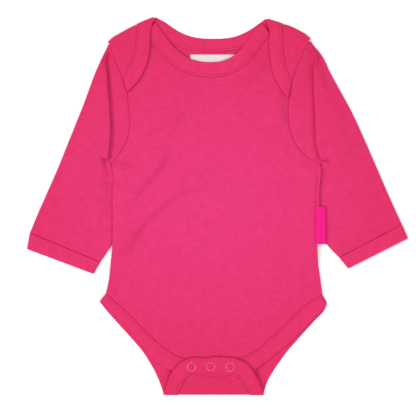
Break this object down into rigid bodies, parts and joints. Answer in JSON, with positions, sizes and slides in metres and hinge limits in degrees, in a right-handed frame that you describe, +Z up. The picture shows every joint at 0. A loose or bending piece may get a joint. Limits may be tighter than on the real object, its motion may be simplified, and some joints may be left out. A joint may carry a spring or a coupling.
{
  "type": "baby bodysuit",
  "caption": "Long-sleeved baby bodysuit with envelope shoulders and a folded-up snap crotch, laid flat on its back.",
  "frame": {"origin": "on the surface it lies on, under the middle of its bounding box", "axes": "+Z up, out of the garment's front; +Y from the crotch towards the neck; +X towards the wearer's left sleeve"},
  "size_m": [0.3986, 0.3952, 0.0084],
  "materials": {
    "jersey": "bright pink cotton interlock jersey, matt",
    "rib": "bright pink cotton rib binding, folded double, matt",
    "snap": "pink-tinted enamelled metal, satin",
    "label": "plain off-white woven tape",
    "tab": "plain magenta satin ribbon"
  },
  "bodies": {
    "root": {"front_panel": "jersey", "back_panel": "jersey", "sleeve_right": "jersey", "sleeve_left": "jersey", "cuff_right": "rib", "cuff_left": "rib", "neck_binding_front": "rib", "neck_binding_back": "rib", "leg_binding_front": "rib", "leg_binding_back": "rib", "snap_ring_1": "snap", "snap_ring_2": "snap", "snap_ring_3": "snap", "snap_mate_1": "snap", "snap_mate_2": "snap", "snap_mate_3": "snap", "neck_label": "label", "side_tab": "tab"}
  },
  "joints": []
}
